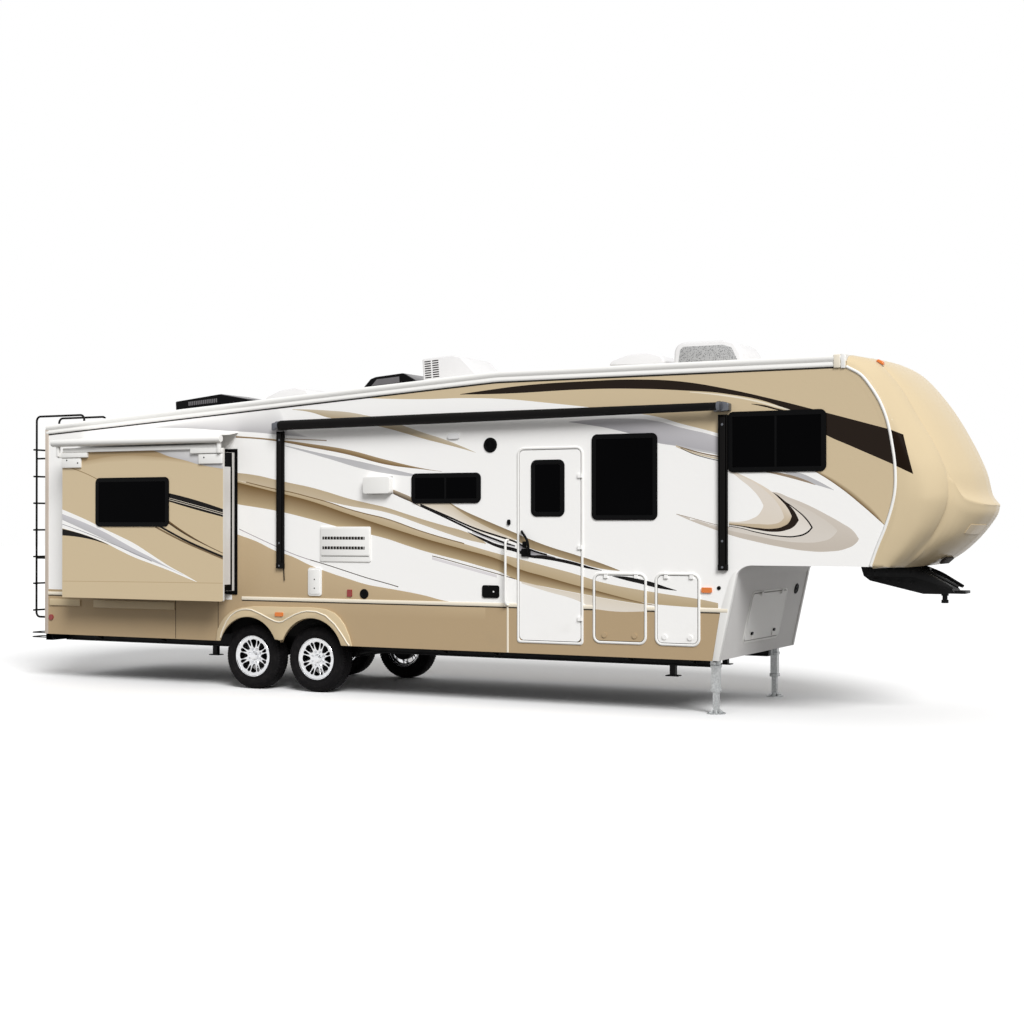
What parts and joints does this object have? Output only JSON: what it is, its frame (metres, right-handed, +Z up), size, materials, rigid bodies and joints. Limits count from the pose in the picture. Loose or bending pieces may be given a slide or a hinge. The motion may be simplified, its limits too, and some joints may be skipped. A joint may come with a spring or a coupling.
{
  "type": "fifth wheel trailer",
  "caption": "Tandem-axle fifth wheel travel trailer with raised front, slide-outs, patio awning, hinged doors and landing legs.",
  "frame": {"origin": "on the ground, below the middle of the overall box", "axes": "+X forward to the hitch, +Y left, +Z up, with the entry door on the -Y side"},
  "size_m": [11.763, 3.356, 3.8723],
  "materials": {
    "body_paint": "gloss gelcoat with swept stripes",
    "cap_gelcoat": "gloss gelcoat",
    "white_panel": "semi-gloss white",
    "white_moulding": "white moulding",
    "roof_membrane": "white roof membrane",
    "floor_board": "dark underbelly sheet",
    "black_steel": "black paint",
    "galvanised": "zinc plated",
    "black_plastic": "black moulded plastic",
    "black_seal": "black bulb seal",
    "dark_glass": "near-black tinted glass",
    "tyre_rubber": "black tyre rubber",
    "polished_rim": "polished alloy",
    "red_lens": "red lamp lens",
    "amber_lens": "amber lamp lens",
    "topper_vinyl": "white vinyl"
  },
  "bodies": {
    "root": {"sidewall_right": "body_paint", "sidewall_left": "body_paint", "skirt_right": "body_paint", "skirt_left": "body_paint", "fender_right": "cap_gelcoat", "fender_left": "cap_gelcoat", "rear_wall": "white_panel", "roof_panel": "roof_membrane", "floor_deck": "floor_board", "front_bulkhead": "white_panel", "bedroom_deck": "floor_board", "front_cap": "cap_gelcoat", "body_mouldings": "white_moulding", "window_frames": "black_plastic", "window_glass": "dark_glass", "opening_frames": "white_moulding", "slide_seals": "black_seal", "topper_fabric_right": "topper_vinyl", "topper_fabric_left": "topper_vinyl", "axles": "black_steel", "leaf_springs": "black_steel", "chassis_frame": "black_steel", "landing_legs": "galvanised", "pin_box": "black_steel", "king_pin": "galvanised", "ladder": "black_steel", "air_conditioners": "white_panel", "roof_vents": "black_plastic", "vent_domes": "white_panel", "awning_arms": "black_steel", "awning_roller": "black_steel", "wall_hatches": "white_panel", "wall_fittings": "black_plastic", "lamps_red": "red_lens", "lamps_amber": "amber_lens", "grab_handle": "polished_rim"},
    "entry_door": {"entry_door": "body_paint", "door_fittings": "black_plastic", "door_glass": "dark_glass"},
    "baggage_door_rear": {"baggage_door_rear": "body_paint"},
    "baggage_door_front": {"baggage_door_front": "body_paint"},
    "baggage_door_left": {"baggage_door_left": "body_paint"},
    "compartment_door": {"compartment_door": "white_panel"},
    "wheel_front_right": {"tyre_front_right": "tyre_rubber", "rim_front_right": "polished_rim"},
    "wheel_front_left": {"tyre_front_left": "tyre_rubber", "rim_front_left": "polished_rim"},
    "wheel_rear_right": {"tyre_rear_right": "tyre_rubber", "rim_rear_right": "polished_rim"},
    "wheel_rear_left": {"tyre_rear_left": "tyre_rubber", "rim_rear_left": "polished_rim"},
    "slide_out_right": {"slide_box_right": "body_paint", "slide_trim_right": "black_plastic", "slide_glass_right": "dark_glass", "topper_roller_right": "white_moulding"},
    "slide_out_left": {"slide_box_left": "body_paint", "slide_trim_left": "black_plastic", "slide_glass_left": "dark_glass", "topper_roller_left": "white_moulding"}
  },
  "joints": [
    {"name": "wheel_front_right_spin", "type": "hinge", "parent": "root", "child": "wheel_front_right", "pos_m": [-1.525, -0.9675, 0.3835], "axis": [0, 1, 0], "continuous": true},
    {"name": "wheel_front_left_spin", "type": "hinge", "parent": "root", "child": "wheel_front_left", "pos_m": [-1.525, 0.9675, 0.3835], "axis": [0, 1, 0], "continuous": true},
    {"name": "wheel_rear_right_spin", "type": "hinge", "parent": "root", "child": "wheel_rear_right", "pos_m": [-2.415, -0.9675, 0.3835], "axis": [0, 1, 0], "continuous": true},
    {"name": "wheel_rear_left_spin", "type": "hinge", "parent": "root", "child": "wheel_rear_left", "pos_m": [-2.415, 0.9675, 0.3835], "axis": [0, 1, 0], "continuous": true},
    {"name": "entry_door_swing", "type": "hinge", "parent": "root", "child": "entry_door", "pos_m": [1.91, -1.243, 1.706], "axis": [0, 0, -1], "range_deg": [-160, 0]},
    {"name": "baggage_door_rear_lift", "type": "hinge", "parent": "root", "child": "baggage_door_rear", "pos_m": [2.331, -1.243, 1.419], "axis": [-1, 0, 0], "range_deg": [0, 160]},
    {"name": "baggage_door_front_lift", "type": "hinge", "parent": "root", "child": "baggage_door_front", "pos_m": [2.9675, -1.243, 1.425], "axis": [-1, 0, 0], "range_deg": [0, 160]},
    {"name": "baggage_door_left_lift", "type": "hinge", "parent": "root", "child": "baggage_door_left", "pos_m": [2.9675, 1.243, 1.425], "axis": [1, 0, 0], "range_deg": [0, 160]},
    {"name": "compartment_door_lift", "type": "hinge", "parent": "root", "child": "compartment_door", "pos_m": [3.56329, 0, 1.22393], "axis": [0, -1, 0], "range_deg": [0, 75]},
    {"name": "slide_out_right_run", "type": "slide", "parent": "root", "child": "slide_out_right", "axis": [0, -1, 0], "range_m": [-0.29, 0], "deforming": ["topper_fabric_right"]},
    {"name": "slide_out_left_run", "type": "slide", "parent": "root", "child": "slide_out_left", "axis": [0, 1, 0], "range_m": [-0.29, 0], "deforming": ["topper_fabric_left"]}
  ]
}
